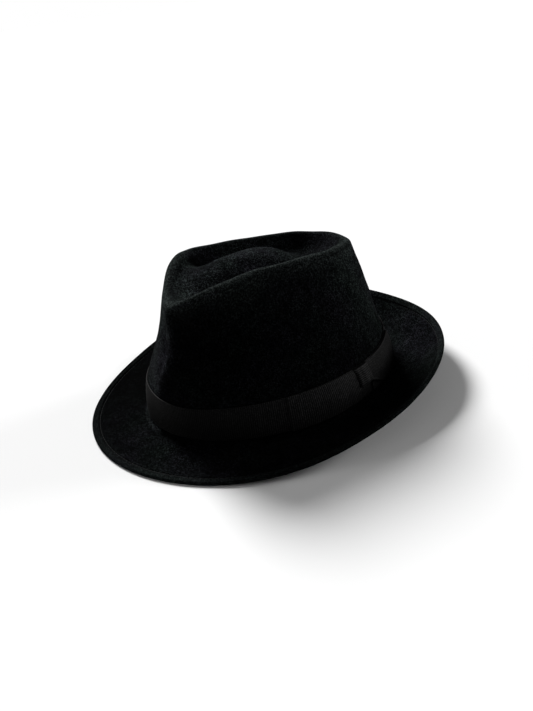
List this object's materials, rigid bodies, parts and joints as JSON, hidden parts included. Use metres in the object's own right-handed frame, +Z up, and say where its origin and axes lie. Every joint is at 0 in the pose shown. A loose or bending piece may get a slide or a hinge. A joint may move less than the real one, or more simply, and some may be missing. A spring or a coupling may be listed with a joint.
{
  "type": "felt hat",
  "caption": "Felt hat with a telescoped teardrop crown, a short brim turned up at the back, and a ribbon with a flat bow on the wearer's left.",
  "frame": {"origin": "on the surface that the hat lies on, below the middle of its bounding box", "axes": "+Z up through the crown, -Y to the front of the hat, +X to the wearer's left, where the bow is"},
  "size_m": [0.2716, 0.2882, 0.1159],
  "materials": {
    "felt": "matt black wool felt",
    "ribbon": "black ribbed ribbon"
  },
  "bodies": {
    "root": {"felt_body": "felt", "hat_band": "ribbon", "bow_front_wing": "ribbon", "bow_rear_wing": "ribbon", "bow_knot": "ribbon"}
  },
  "joints": []
}
